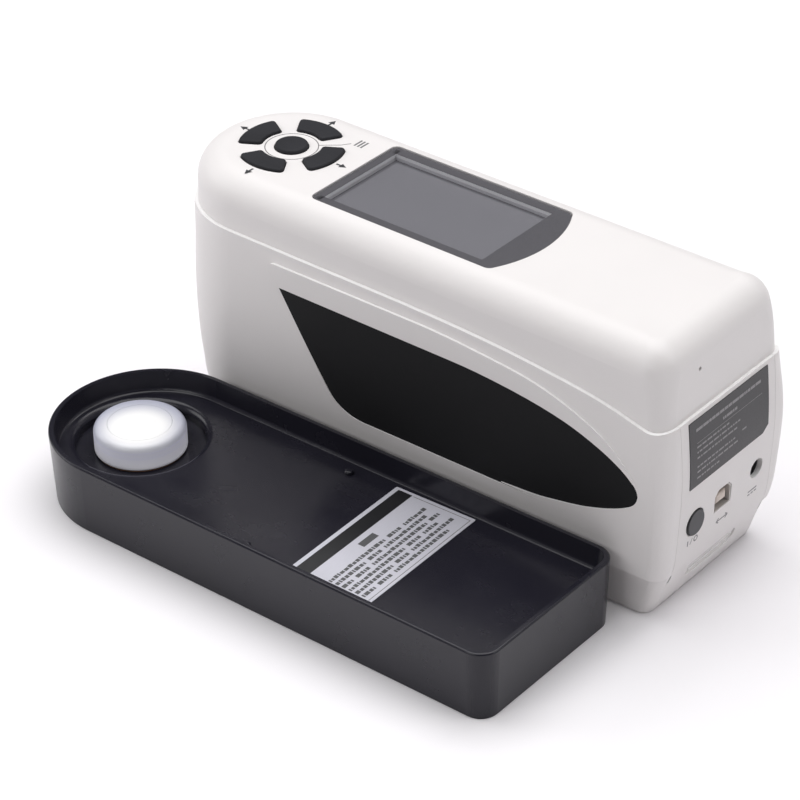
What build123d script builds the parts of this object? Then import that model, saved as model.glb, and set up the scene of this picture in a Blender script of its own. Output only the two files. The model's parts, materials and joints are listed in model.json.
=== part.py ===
from build123d import *
import math
import os

os.makedirs("parts", exist_ok=True)

# ---------------------------------------------------------------------------
# Hand-held colour-measuring instrument standing beside its calibration tray.
# Millimetres.  X runs along the instrument, +X towards the connector end,
# +Y away from the tray, +Z up.  Origin: centre of the flat base, on the table.
# ---------------------------------------------------------------------------

# ---- driving dimensions of the housing ------------------------------------
FRONT_X = -68.3          # centre of the round front end (under the keypad)
WALL = 2.2               # lower shell wall
UPPER_WALL = 2.0         # upper shell wall
TOP_WALL = 3.2           # upper shell thickness under the flat top
TOP_X = -67.8            # point on the sloping top plane ...
TOP_Z = 97.2             # ... and its height
TOP_SLOPE = math.degrees(math.atan(0.015))   # the top falls towards +X
TOP_ROUND = 9.5          # shoulder radius around the top
FLARE = math.radians(0.2)    # the long sides open towards the connector end
STEP_Z = 15.7            # height of the overhang above the base rim
LEDGE_T = 2.2            # thickness of the overhang floor

# height, half width, rear face X, rear corner radius
LOWER_STATIONS = [
    (15.7, 31.4, 101.0, 5.0),
    (23.0, 32.0, 102.4, 5.0),
    (32.0, 32.7, 103.0, 5.2),
    (41.0, 33.0, 103.5, 5.2),
    (50.0, 33.0, 103.6, 5.4),
    (58.0, 32.75, 103.2, 6.2),
    (66.0, 32.35, 102.5, 7.0),
    (74.0, 32.1, 101.6, 7.2),
    (83.0, 31.65, 100.4, 7.2),
]
RIM_STATIONS = [
    (0.0, 28.5, 95.1, 4.0),
    (4.2, 28.45, 96.9, 4.0),
    (9.9, 28.4, 98.8, 4.2),
    (15.7, 28.3, 101.0, 4.4),
    (18.5, 28.3, 101.7, 4.4),
]
UPPER_STATIONS = [
    (66.0, 31.0, 101.2, 6.0),
    (73.0, 30.85, 100.6, 6.0),
    (80.0, 30.7, 100.3, 6.8),
    (87.0, 30.5, 99.7, 8.6),
    (93.0, 30.2, 98.5, 10.8),
    (99.0, 29.8, 96.6, 12.8),
]
# side view of the joint line between the two shells (X, Z)
PARTING = [
    (-110.0, 80.0), (-90.0, 80.4), (-66.0, 80.2), (-30.0, 79.6), (5.0, 79.1),
    (25.0, 78.4), (45.0, 77.1), (63.8, 75.1), (75.0, 73.6), (85.5, 71.4),
    (92.0, 69.7), (97.0, 68.8), (100.5, 69.3), (104.0, 70.5),
]

# ---- side grips ------------------------------------------------------------
# the field around each grip stands proud of the wall and fades out below
FIELD_RISE = {15.7: 0.0, 23.0: 0.0, 32.0: 0.0, 41.0: 0.0, 50.0: 0.15,
              58.0: 0.35, 66.0: 0.6, 74.0: 0.85, 83.0: 1.1}
INLAY_T = 1.0            # rubber pad thickness
INLAY_SINK = 0.22        # pad surface below the raised field

# ---- display ---------------------------------------------------------------
LENS_X0, LENS_X1 = -42.0, 28.6        # straight front edge, rear corner line
LENS_BULGE_X = 34.8                   # apex of the curved rear edge
LENS_HALF_W = 21.7
LENS_T = 1.6
LENS_SINK = 0.15
WINDOW_X0, WINDOW_X1 = -38.9, 23.4    # visible window of the display
WINDOW_HALF_W = 17.9
LCD_T = 2.1
GASKET_T = 1.1           # grey gasket that holds the display off the window

# ---- keypad ----------------------------------------------------------------
KEY_X = -67.8            # keypad centre
KEY_IN_R = 10.0
KEY_OUT_R = 17.6
KEY_HALF_ANGLE = 31.0
KEY_CORNER = 1.3
CENTRE_KEY_R = 5.5
KEY_PROUD = 1.0
KEY_TRAVEL = 0.8
KEY_GAP = 0.3

# ---- main board -------------------------------------------------------------
BOARD_SCREWS = [(-37.0, 25.6), (-37.0, -25.6), (74.0, 24.0), (74.0, -24.0)]

# ---- connector end ---------------------------------------------------------
PANEL_HALF_W = 25.2
PANEL_T = 2.2
SEAM = 0.12
PLATE_HALF_W = 21.2      # nameplate
PLATE_Z0, PLATE_Z1 = 45.5, 68.4
PLATE_CUT = (2.9, 2.1)   # cut corner of the nameplate
SWITCH_Y, SWITCH_Z, SWITCH_R = -16.3, 31.4, 4.7
USB_Y, USB_Z = -1.3, 32.3
USB_W, USB_H = 9.2, 8.4
DC_Y, DC_Z, DC_R = 17.0, 33.1, 3.4
SLOT_Y, SLOT_Z, SLOT_W, SLOT_H = -0.3, 9.7, 26.8, 6.3     # ribbed recess
SLOT_LEAN = math.degrees(math.atan(1.9 / 5.7))            # slope of the foot

# ---- optics ----------------------------------------------------------------
OPTIC_X = -69.5
SPHERE_Z = 21.0
SPHERE_R = 17.0
SPHERE_IN_R = 14.5
APERTURE_R = 4.0
RING_R = 14.9
BASE_T = 3.0

# ---- calibration tray ------------------------------------------------------
TRAY_X, TRAY_Y = -72.15, -68.36       # centre of its round end
TRAY_R = 33.3
TRAY_END_X = 160.95                   # square end, from the round centre
TRAY_CORNER = 7.12
TRAY_H = 24.28
TRAY_DRAFT = 0.97
TRAY_WALL = 1.75
TRAY_FLOOR = 16.83
TRAY_SKIN = 2.0
WELL_X = -5.4                          # well centre, from the round centre
WELL_R = 21.3
WELL_FLOOR = 12.85
TILE_R = 15.2
TILE_TOP = 22.2
PAD_T = 0.45


# ---------------------------------------------------------------------------
# construction helpers
# ---------------------------------------------------------------------------
def plan_outline(half_width, rear_x, corner):
    """Plan view of the housing: round front, sides that open slightly
    towards the rear, rounded rear corners."""
    c = corner
    sf, cf = math.sin(FLARE), math.cos(FLARE)
    xc = rear_x - c
    yc = (half_width - c + sf * (xc - FRONT_X)) / cf
    front = (FRONT_X - half_width * sf, half_width * cf)
    side = (xc - c * sf, yc + c * cf)
    m = (math.pi / 2 + FLARE) / 2
    mid = (xc + c * math.cos(m), yc + c * math.sin(m))

    def near(p):
        return (p[0], -p[1])

    Line(near(front), near(side))
    ThreePointArc(near(side), near(mid), (rear_x, -yc))
    Line((rear_x, -yc), (rear_x, yc))
    ThreePointArc((rear_x, yc), mid, side)
    Line(side, front)
    ThreePointArc(front, (FRONT_X - half_width, 0), near(front))


def housing_form(stations, inset):
    """Solid lofted through the plan sections, all moved inward by inset."""
    with BuildPart() as form:
        for z, half_width, rear_x, corner in stations:
            with BuildSketch(Plane.XY.offset(z)):
                with BuildLine():
                    plan_outline(half_width - inset, rear_x - inset,
                                 max(corner - inset, 2.0))
                make_face()
        loft()
    return form.part


def top_plane(x, depth=0.0, y=0.0):
    """Plane on the sloping top, depth millimetres below its surface."""
    t = math.radians(TOP_SLOPE)
    z = TOP_Z - (x - TOP_X) * math.tan(t)
    n = (math.sin(t), 0, math.cos(t))
    return Plane(origin=(x - depth * n[0], y, z - depth * n[2]),
                 x_dir=(math.cos(t), 0, -math.sin(t)), z_dir=n)


def parting_zone(above, lift=0.0):
    """Everything above (or below) the joint line between the shells."""
    far = 130.0 if above else -20.0
    pts = [(x, z + lift) for x, z in PARTING]
    with BuildPart() as zone:
        with BuildSketch(Plane.XZ):
            with BuildLine():
                Spline(*pts)
                Polyline(pts[-1], (130, pts[-1][1]), (130, far), (-130, far),
                         (-130, pts[0][1]), pts[0])
            make_face()
        extrude(amount=60, both=True)
    return zone.part


def lens_outline(grow=0.0):
    x0, x1, b, w = (LENS_X0 - grow, LENS_X1 + grow, LENS_BULGE_X + grow,
                    LENS_HALF_W + grow)
    x0, x1, b = x0 - KEY_X, x1 - KEY_X, b - KEY_X
    Polyline((x1, w), (x0, w), (x0, -w), (x1, -w))
    ThreePointArc((x1, -w), (b, 0), (x1, w))


def key_outline(angle, grow=0.0):
    """Arc-shaped key around the keypad centre."""
    r0, r1 = KEY_IN_R - grow, KEY_OUT_R + grow
    half = math.radians(KEY_HALF_ANGLE)
    # the key's short ends are parallel offsets of its radial edges
    e0 = half + grow / r0
    e1 = half + grow / r1
    a = math.radians(angle)

    def p(r, t):
        return (r * math.cos(t), r * math.sin(t))

    ThreePointArc(p(r1, a - e1), p(r1, a), p(r1, a + e1))
    Line(p(r1, a + e1), p(r0, a + e0))
    ThreePointArc(p(r0, a + e0), p(r0, a), p(r0, a - e0))
    Line(p(r0, a - e0), p(r1, a - e1))


above = parting_zone(True)
below = parting_zone(False)

# ---------------------------------------------------------------------------
# upper shell
# ---------------------------------------------------------------------------
with BuildPart() as upper_core:
    add(housing_form(UPPER_STATIONS, UPPER_WALL))
    with BuildSketch(top_plane(0, TOP_WALL)):
        Rectangle(320, 120)
    extrude(amount=40, mode=Mode.SUBTRACT)
    fillet(upper_core.faces().sort_by(Axis.Z)[-1].edges(), TOP_ROUND - 3.0)

with BuildPart() as upper_shell:
    add(housing_form(UPPER_STATIONS, 0))
    with BuildSketch(top_plane(0)):
        Rectangle(320, 120)
    extrude(amount=40, mode=Mode.SUBTRACT)
    fillet(upper_shell.faces().sort_by(Axis.Z)[-1].edges(), TOP_ROUND)
    add(upper_core.part, mode=Mode.SUBTRACT)
    add(above, mode=Mode.INTERSECT)
    # lens seat and display window
    with BuildSketch(top_plane(KEY_X)) as lens_pocket:
        with BuildLine():
            lens_outline(0.12)
        make_face()
        fillet(lens_pocket.vertices(), 2.6)
    extrude(amount=-(LENS_T + LENS_SINK), mode=Mode.SUBTRACT)
    with BuildSketch(top_plane(KEY_X)):
        with Locations(((WINDOW_X0 + WINDOW_X1) / 2 - KEY_X, 0)):
            Rectangle(WINDOW_X1 - WINDOW_X0 + 3.6, 2 * WINDOW_HALF_W + 4.2)
    extrude(amount=-8, mode=Mode.SUBTRACT)
    # openings for the four arc keys and the round centre key
    for angle in (0, 90, 180, 270):
        with BuildSketch(top_plane(KEY_X)) as key_hole:
            with BuildLine():
                key_outline(angle, KEY_GAP)
            make_face()
            fillet(key_hole.vertices(), KEY_CORNER + KEY_GAP)
        extrude(amount=-8, mode=Mode.SUBTRACT)
    with BuildSketch(top_plane(KEY_X)):
        Circle(CENTRE_KEY_R + KEY_GAP)
    extrude(amount=-8, mode=Mode.SUBTRACT)
    # posts that carry the keypad board
    with BuildSketch(top_plane(KEY_X, 3.0)):
        with Locations((21, 14), (21, -14), (-18.5, 14.5), (-18.5, -14.5)):
            Circle(2.1)
    extrude(amount=-3.2)
    with BuildSketch(top_plane(KEY_X, 6.2)):
        with Locations((21, 14), (21, -14), (-18.5, 14.5), (-18.5, -14.5)):
            Circle(0.9)
    extrude(amount=2.6, mode=Mode.SUBTRACT)
    # bosses that carry the main board
    with BuildSketch(Plane.XY.offset(81.6)):
        with Locations(*BOARD_SCREWS):
            Circle(2.4)
    extrude(until=Until.NEXT)
    with BuildSketch(Plane.XY.offset(81.6)):
        with Locations(*BOARD_SCREWS):
            Circle(1.25)
    extrude(amount=7.0, mode=Mode.SUBTRACT)
    # pinhole in the connector end, above the nameplate
    with BuildSketch(Plane.YZ.offset(90)):
        with Locations((-12.9, 83.1)):
            Circle(0.7)
    extrude(amount=20, mode=Mode.SUBTRACT)
upper_shell.part.label = "upper_shell"
export_step(upper_shell.part, "parts/upper_shell.step")

# ---------------------------------------------------------------------------
# lower shell
# ---------------------------------------------------------------------------
lower_solid = housing_form(LOWER_STATIONS, 0)
lower_inner = housing_form(LOWER_STATIONS, WALL)
rim_solid = housing_form(RIM_STATIONS, 0)
rim_inner = housing_form(RIM_STATIONS, WALL)

BASE_SCREWS = [(-40.0, 23.4), (-40.0, -23.4), (76.0, 23.4), (76.0, -23.4)]


FIELD_STATIONS = [(z, w + FIELD_RISE[z], x, c) for z, w, x, c in LOWER_STATIONS]


def field_outline():
    """Side view (X, Z) of the raised field; its upper edge is a small step."""
    Spline((-50.9, 72.2), (-50.3, 74.2), (-48.0, 75.4),
           tangents=((0.03, 1.0), (1.0, 0.02)))
    Line((-48.0, 75.4), (9.3, 74.9))
    Spline((9.3, 74.9), (18.7, 74.6), (38.3, 73.0), (55.1, 70.7), (64.1, 68.3),
           (72.9, 65.0), (81.7, 60.4), (88.1, 54.95), (92.5, 49.6),
           tangents=((1.0, -0.01), (0.6, -0.8)))
    Polyline((92.5, 49.6), (60.0, 49.6), (-35.26, 49.6), (-46.6, 67.4),
             (-50.9, 72.2))


def inlay_outline():
    """Side view (X, Z) of the leaf-shaped rubber grip pad."""
    Line((-46.6, 67.4), (23.5, 66.6))
    Spline((23.5, 66.6), (41.8, 65.55), (59.8, 63.1), (68.55, 61.1), (77.3, 58.1),
           (85.9, 54.0), (91.55, 49.65), (93.5, 45.9),
           tangents=((1.0, -0.012), (0.12, -1.0)))
    Spline((93.5, 45.9), (91.8, 42.0), (88.2, 39.5), (79.5, 35.8), (70.7, 33.3),
           (61.7, 31.6), (52.6, 30.4), (43.3, 29.6), (30.0, 29.2),
           tangents=((-0.05, -1.0), (-1.0, 0.0)))
    Line((30.0, 29.2), (-12.5, 29.2))
    Spline((-12.5, 29.2), (-20.8, 31.0), (-26.6, 36.0),
           tangents=((-1.0, 0.0), (-0.54, 0.84)))
    Line((-26.6, 36.0), (-46.6, 67.4))


field_form = housing_form(FIELD_STATIONS, 0)
pad_face = housing_form(FIELD_STATIONS, INLAY_SINK)
pad_floor = housing_form(FIELD_STATIONS, INLAY_SINK + INLAY_T)

with BuildPart() as grip_field:
    with BuildSketch(Plane.XZ):
        with BuildLine():
            field_outline()
        make_face()
    extrude(amount=60, both=True)
    add(field_form, mode=Mode.INTERSECT)

with BuildPart() as lower_form:
    add(lower_solid)
    add(below, mode=Mode.INTERSECT)
    add(grip_field.part)

with BuildPart() as hollow:
    add(lower_inner)
    with BuildSketch(Plane.XY.offset(STEP_Z - 5)):
        Rectangle(320, 120)
    extrude(amount=5 + LEDGE_T, mode=Mode.SUBTRACT)

with BuildPart() as rim:
    add(rim_solid)
    with BuildSketch(Plane.XY.offset(17.0)):
        Rectangle(320, 120)
    extrude(amount=20, mode=Mode.SUBTRACT)

with BuildPart() as pad_pocket:
    with BuildSketch(Plane.XZ):
        with BuildLine():
            inlay_outline()
        make_face()
    extrude(amount=60, both=True)
    add(pad_floor, mode=Mode.SUBTRACT)

with BuildPart() as lower_shell:
    add(lower_form.part)
    # hollow above the overhang floor
    add(hollow.part, mode=Mode.SUBTRACT)
    # base rim, set in from the sides and flush at the connector end
    add(rim.part)
    add(rim_inner, mode=Mode.SUBTRACT)
    # bosses for the base screws, hanging from the overhang floor
    with BuildSketch(Plane.XY.offset(BASE_T)):
        with Locations(*BASE_SCREWS):
            Circle(3.6)
    extrude(amount=STEP_Z + LEDGE_T - BASE_T)
    with BuildSketch(Plane.XY.offset(BASE_T)):
        with Locations(*BASE_SCREWS):
            Circle(1.5)
    extrude(amount=9.0, mode=Mode.SUBTRACT)
    # opening for the connector panel
    with BuildSketch(Plane.YZ.offset(88)):
        with Locations((0, 40)):
            Rectangle(2 * PANEL_HALF_W + 2 * SEAM, 100)
    extrude(amount=30, mode=Mode.SUBTRACT)
    # pockets for the rubber grips, on both sides
    add(pad_pocket.part, mode=Mode.SUBTRACT)
lower_shell.part.label = "lower_shell"
export_step(lower_shell.part, "parts/lower_shell.step")

with BuildPart() as grip_near:
    with BuildSketch(Plane.XZ):
        with BuildLine():
            inlay_outline()
        make_face()
    extrude(amount=60)
    add(pad_face, mode=Mode.INTERSECT)
    add(pad_floor, mode=Mode.SUBTRACT)
grip_near.part.label = "grip_near"
export_step(grip_near.part, "parts/grip_near.step")

with BuildPart() as grip_far:
    with BuildSketch(Plane.XZ):
        with BuildLine():
            inlay_outline()
        make_face()
    extrude(amount=-60)
    add(pad_face, mode=Mode.INTERSECT)
    add(pad_floor, mode=Mode.SUBTRACT)
grip_far.part.label = "grip_far"
export_step(grip_far.part, "parts/grip_far.step")

# ---------------------------------------------------------------------------
# connector panel and nameplate
# ---------------------------------------------------------------------------
panel_inner = housing_form(LOWER_STATIONS, PANEL_T)
panel_rim_inner = housing_form(RIM_STATIONS, PANEL_T)
plate_skin = housing_form(LOWER_STATIONS, -0.25)
plate_floor = housing_form(LOWER_STATIONS, 0.45)

with BuildPart() as panel_foot:
    add(rim_solid)
    with BuildSketch(Plane.XY.offset(16.5)):
        Rectangle(320, 120)
    extrude(amount=20, mode=Mode.SUBTRACT)

with BuildPart() as panel_blank:
    add(lower_form.part)
    with BuildSketch(Plane.XY.offset(16.5)):
        Rectangle(320, 120)
    extrude(amount=-20, mode=Mode.SUBTRACT)
    add(panel_foot.part)

with BuildPart() as panel_hollow:
    add(panel_inner)
    add(panel_rim_inner)

with BuildPart() as plate_pocket:
    with BuildSketch(Plane.YZ.offset(96)):
        with Locations((0, (PLATE_Z0 + PLATE_Z1) / 2)):
            Rectangle(2 * PLATE_HALF_W, PLATE_Z1 - PLATE_Z0)
    extrude(amount=20)
    chamfer(plate_pocket.edges().filter_by(Axis.X).group_by(Axis.Z)[0]
            .sort_by(Axis.Y)[-1], *PLATE_CUT)
    add(plate_floor, mode=Mode.SUBTRACT)

with BuildPart() as rear_panel:
    add(panel_blank.part)
    # only the flat middle of the connector end belongs to the panel
    with BuildSketch(Plane.YZ.offset(88 + SEAM)):
        with Locations((0, 40)):
            Rectangle(2 * PANEL_HALF_W, 100)
    extrude(amount=30, mode=Mode.INTERSECT)
    add(panel_hollow.part, mode=Mode.SUBTRACT)
    # pocket for the nameplate
    add(plate_pocket.part, mode=Mode.SUBTRACT)
    # power switch, square socket and round power inlet
    with BuildSketch(Plane.YZ.offset(90)) as port_holes:
        with Locations((SWITCH_Y, SWITCH_Z)):
            Circle(SWITCH_R)
        with Locations((DC_Y, DC_Z)):
            Circle(DC_R)
        with BuildLine():
            w, h, c = USB_W / 2, USB_H / 2, 1.9
            Polyline((USB_Y - w, USB_Z - h), (USB_Y + w, USB_Z - h),
                     (USB_Y + w, USB_Z + h - c), (USB_Y + w - c, USB_Z + h),
                     (USB_Y - w + c, USB_Z + h), (USB_Y - w, USB_Z + h - c),
                     close=True)
        make_face()
    extrude(amount=30, mode=Mode.SUBTRACT)
    # shallow ribbed finger recess near the foot of the panel
    lean = math.radians(SLOT_LEAN)
    slot_face = Plane(origin=(98.73, SLOT_Y, SLOT_Z), x_dir=(0, 1, 0),
                      z_dir=(math.cos(lean), 0, -math.sin(lean)))
    with BuildSketch(slot_face.offset(-0.6)):
        SlotOverall(SLOT_W, SLOT_H)
    extrude(amount=6, mode=Mode.SUBTRACT)
    for dz in (-1.75, 0.0, 1.75):
        with BuildSketch(slot_face.offset(-0.8)):
            with Locations((0, dz)):
                SlotOverall(SLOT_W - 2.6 - 1.4 * abs(dz), 0.7)
        extrude(amount=0.6)
    # snap slots at the edges, just above the foot
    with BuildSketch(Plane.YZ.offset(94)):
        with Locations((-24.9, 13.4), (24.9, 13.4)):
            Rectangle(1.0, 3.4)
    extrude(amount=12, mode=Mode.SUBTRACT)
rear_panel.part.label = "rear_panel"
export_step(rear_panel.part, "parts/rear_panel.step")

with BuildPart() as nameplate:
    with BuildSketch(Plane.YZ.offset(96)):
        with Locations((0, (PLATE_Z0 + PLATE_Z1) / 2)):
            Rectangle(2 * PLATE_HALF_W - 0.1, PLATE_Z1 - PLATE_Z0 - 0.1)
    extrude(amount=20)
    chamfer(nameplate.edges().filter_by(Axis.X).group_by(Axis.Z)[0]
            .sort_by(Axis.Y)[-1], *PLATE_CUT)
    add(plate_floor, mode=Mode.SUBTRACT)
    add(plate_skin, mode=Mode.INTERSECT)
nameplate.part.label = "nameplate"
export_step(nameplate.part, "parts/nameplate.step")

# ---------------------------------------------------------------------------
# base plate, its screws and the measuring aperture
# ---------------------------------------------------------------------------
with BuildPart() as base_plate:
    add(housing_form(RIM_STATIONS, WALL + 0.1))
    with BuildSketch(Plane.XY.offset(BASE_T)):
        Rectangle(320, 120)
    extrude(amount=40, mode=Mode.SUBTRACT)
    with BuildSketch(Plane.XZ):
        with Locations((105, 0)):
            Rectangle(23.5, 20)
    extrude(amount=60, both=True, mode=Mode.SUBTRACT)
    with BuildSketch(Plane.XY):
        with Locations((OPTIC_X, 0)):
            Circle(RING_R + 0.1)
    extrude(amount=BASE_T, mode=Mode.SUBTRACT)
    with BuildSketch(Plane.XY):
        with Locations(*BASE_SCREWS):
            Circle(1.7)
    extrude(amount=BASE_T, mode=Mode.SUBTRACT)
    with BuildSketch(Plane.XY):
        with Locations(*BASE_SCREWS):
            Circle(3.0)
    extrude(amount=2.0, mode=Mode.SUBTRACT)
base_plate.part.label = "base_plate"
export_step(base_plate.part, "parts/base_plate.step")

with BuildPart() as base_screws:
    with BuildSketch(Plane.XY.offset(0.4)):
        with Locations(*BASE_SCREWS):
            Circle(2.8)
    extrude(amount=1.6)
    with BuildSketch(Plane.XY.offset(2.0)):
        with Locations(*BASE_SCREWS):
            Circle(1.45)
    extrude(amount=9.0)
    with BuildSketch(Plane.XY.offset(0.4)):
        with Locations(*BASE_SCREWS):
            RegularPolygon(1.25, 6)
    extrude(amount=1.1, mode=Mode.SUBTRACT)
base_screws.part.label = "base_screws"
export_step(base_screws.part, "parts/base_screws.step")

with BuildPart() as aperture_ring:
    with BuildSketch(Plane.XY):
        with Locations((OPTIC_X, 0)):
            Circle(RING_R)
    extrude(amount=BASE_T)
    with BuildSketch(Plane.XZ):
        with BuildLine():
            Polyline((OPTIC_X, -1), (OPTIC_X + APERTURE_R, -1),
                     (OPTIC_X + APERTURE_R, 1.0), (OPTIC_X + 5.6, 4),
                     (OPTIC_X, 4), close=True)
        make_face()
    revolve(axis=Axis((OPTIC_X, 0, 0), (0, 0, 1)), mode=Mode.SUBTRACT)
    chamfer(aperture_ring.faces().sort_by(Axis.Z)[0].edges()
            .filter_by(GeomType.CIRCLE).sort_by(SortBy.RADIUS)[-1], 0.4)
aperture_ring.part.label = "aperture_ring"
export_step(aperture_ring.part, "parts/aperture_ring.step")

# ---------------------------------------------------------------------------
# optics: integrating sphere, lamps, viewing tube and sensor
# ---------------------------------------------------------------------------
VIEW_TILT = 8.0
vt = math.radians(VIEW_TILT)


def view_plane(distance):
    """Plane across the tilted viewing axis, distance from the sphere centre."""
    n = (math.sin(vt), 0, math.cos(vt))
    return Plane(origin=(OPTIC_X + distance * n[0], 0,
                         SPHERE_Z + distance * n[2]),
                 x_dir=(math.cos(vt), 0, -math.sin(vt)), z_dir=n)


with BuildPart() as sphere_lower:
    with Locations((OPTIC_X, 0, SPHERE_Z)):
        Sphere(SPHERE_R)
    with BuildSketch(Plane.XY.offset(SPHERE_Z - 2)):
        with Locations((OPTIC_X, 0)):
            Circle(19.8)
    extrude(amount=2)
    with BuildSketch(Plane.XY.offset(BASE_T)):
        with Locations((OPTIC_X, 0)):
            Circle(7.4)
    extrude(amount=5)
    with Locations((OPTIC_X, 0, SPHERE_Z)):
        Sphere(SPHERE_IN_R, mode=Mode.SUBTRACT)
    with BuildSketch(Plane.XY.offset(SPHERE_Z)):
        with Locations((OPTIC_X, 0)):
            Rectangle(60, 60)
    extrude(amount=30, mode=Mode.SUBTRACT)
    with BuildSketch(Plane.XY.offset(BASE_T)):
        with Locations((OPTIC_X, 0)):
            Circle(5.7)
    extrude(amount=10, mode=Mode.SUBTRACT)
sphere_lower.part.label = "sphere_lower"
export_step(sphere_lower.part, "parts/sphere_lower.step")

with BuildPart() as sphere_upper:
    with Locations((OPTIC_X, 0, SPHERE_Z)):
        Sphere(SPHERE_R)
    with BuildSketch(Plane.XY.offset(SPHERE_Z)):
        with Locations((OPTIC_X, 0)):
            Circle(19.8)
    extrude(amount=2)
    with Locations((OPTIC_X, 0, SPHERE_Z)):
        Sphere(SPHERE_IN_R, mode=Mode.SUBTRACT)
    with BuildSketch(Plane.XY.offset(SPHERE_Z)):
        with Locations((OPTIC_X, 0)):
            Rectangle(60, 60)
    extrude(amount=-30, mode=Mode.SUBTRACT)
    with BuildSketch(view_plane(10)):
        Circle(5.1)
    extrude(amount=12, mode=Mode.SUBTRACT)
    with BuildSketch(view_plane(9)):
        with PolarLocations(9.0, 4, start_angle=45):
            Circle(1.6)
    extrude(amount=12, mode=Mode.SUBTRACT)
sphere_upper.part.label = "sphere_upper"
export_step(sphere_upper.part, "parts/sphere_upper.step")

with BuildPart() as viewing_tube:
    with BuildSketch(view_plane(15.2)):
        Circle(5.0)
        Circle(3.9, mode=Mode.SUBTRACT)
    extrude(amount=18.8)
viewing_tube.part.label = "viewing_tube"
export_step(viewing_tube.part, "parts/viewing_tube.step")

with BuildPart() as collecting_lens:
    with BuildSketch(view_plane(24)):
        Circle(3.85)
    extrude(amount=2.4)
    fillet(collecting_lens.edges(), 0.5)
collecting_lens.part.label = "collecting_lens"
export_step(collecting_lens.part, "parts/collecting_lens.step")

with BuildPart() as lamp_board:
    with BuildSketch(view_plane(18.2)):
        Circle(13.0)
        Circle(5.2, mode=Mode.SUBTRACT)
    extrude(amount=1.2)
lamp_board.part.label = "lamp_board"
export_step(lamp_board.part, "parts/lamp_board.step")

with BuildPart() as lamps:
    with BuildSketch(view_plane(12.2)):
        with PolarLocations(9.0, 4, start_angle=45):
            Circle(1.5)
    extrude(amount=6.0)
    fillet(lamps.faces().group_by(Axis.Z)[0].edges(), 0.4)
lamps.part.label = "lamps"
export_step(lamps.part, "parts/lamps.step")

with BuildPart() as sensor_board:
    with BuildSketch(view_plane(34.0)):
        RectangleRounded(18, 18, 1.5)
    extrude(amount=1.6)
sensor_board.part.label = "sensor_board"
export_step(sensor_board.part, "parts/sensor_board.step")

with BuildPart() as optics_bracket:
    with BuildSketch(Plane.XY.offset(16.6)):
        with Locations((OPTIC_X, 0)):
            RectangleRounded(36, 36, 6)
            Circle(17.1, mode=Mode.SUBTRACT)
    extrude(amount=2.4)
    with BuildSketch(Plane.XY.offset(BASE_T)):
        with Locations((OPTIC_X, 0)):
            with GridLocations(28.6, 28.6, 2, 2):
                Circle(2.3)
    extrude(amount=13.6)
optics_bracket.part.label = "optics_bracket"
export_step(optics_bracket.part, "parts/optics_bracket.step")

# ---------------------------------------------------------------------------
# display
# ---------------------------------------------------------------------------
with BuildPart() as display_lens:
    with BuildSketch(top_plane(KEY_X, LENS_T + LENS_SINK)) as lens_face:
        with BuildLine():
            lens_outline()
        make_face()
        fillet(lens_face.vertices(), 2.5)
    extrude(amount=LENS_T)
    chamfer(display_lens.faces().sort_by(Axis.Z)[-1].edges(), 0.25)
display_lens.part.label = "display_lens"
export_step(display_lens.part, "parts/display_lens.step")

LCD_X = (WINDOW_X0 + WINDOW_X1) / 2 - KEY_X
LCD_DEPTH = LENS_T + LENS_SINK + GASKET_T
with BuildPart() as display_gasket:
    with BuildSketch(top_plane(KEY_X, LENS_T + LENS_SINK)):
        with Locations((LCD_X, 0)):
            Rectangle(WINDOW_X1 - WINDOW_X0 + 3.2, 2 * WINDOW_HALF_W + 3.8)
            Rectangle(WINDOW_X1 - WINDOW_X0, 2 * WINDOW_HALF_W,
                      mode=Mode.SUBTRACT)
    extrude(amount=-GASKET_T)
display_gasket.part.label = "display_gasket"
export_step(display_gasket.part, "parts/display_gasket.step")

with BuildPart() as display_panel:
    with BuildSketch(top_plane(KEY_X, LCD_DEPTH)):
        with Locations((LCD_X, 0)):
            Rectangle(WINDOW_X1 - WINDOW_X0 + 3.2, 2 * WINDOW_HALF_W + 3.8)
    extrude(amount=-LCD_T)
display_panel.part.label = "display_panel"
export_step(display_panel.part, "parts/display_panel.step")

with BuildPart() as display_frame:
    with BuildSketch(top_plane(KEY_X, TOP_WALL)):
        with Locations((LCD_X, 0)):
            RectangleRounded(WINDOW_X1 - WINDOW_X0 + 10, 2 * WINDOW_HALF_W + 9,
                             2)
    extrude(amount=-2.8)
    with BuildSketch(top_plane(KEY_X, TOP_WALL)):
        with Locations((LCD_X, 0)):
            Rectangle(WINDOW_X1 - WINDOW_X0 + 3.4, 2 * WINDOW_HALF_W + 4.0)
    extrude(amount=-(LCD_DEPTH + LCD_T - TOP_WALL), mode=Mode.SUBTRACT)
display_frame.part.label = "display_frame"
export_step(display_frame.part, "parts/display_frame.step")

# ---------------------------------------------------------------------------
# keypad
# ---------------------------------------------------------------------------
FLANGE_D = TOP_WALL + 0.3


def arc_key(angle):
    with BuildPart() as key:
        with BuildSketch(top_plane(KEY_X, FLANGE_D)) as outline:
            with BuildLine():
                key_outline(angle)
            make_face()
            fillet(outline.vertices(), KEY_CORNER)
        extrude(amount=FLANGE_D + KEY_PROUD)
        fillet(key.faces().sort_by(Axis.Z)[-1].edges(), 0.55)
        with BuildSketch(top_plane(KEY_X, FLANGE_D + 1.0)) as flange:
            with BuildLine():
                key_outline(angle, 0.75)
            make_face()
            fillet(flange.vertices(), KEY_CORNER)
        extrude(amount=1.0)
    return key.part


with BuildPart() as key_down:
    add(arc_key(0))
key_down.part.label = "key_down"
export_step(key_down.part, "parts/key_down.step")

with BuildPart() as key_right:
    add(arc_key(90))
key_right.part.label = "key_right"
export_step(key_right.part, "parts/key_right.step")

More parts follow.
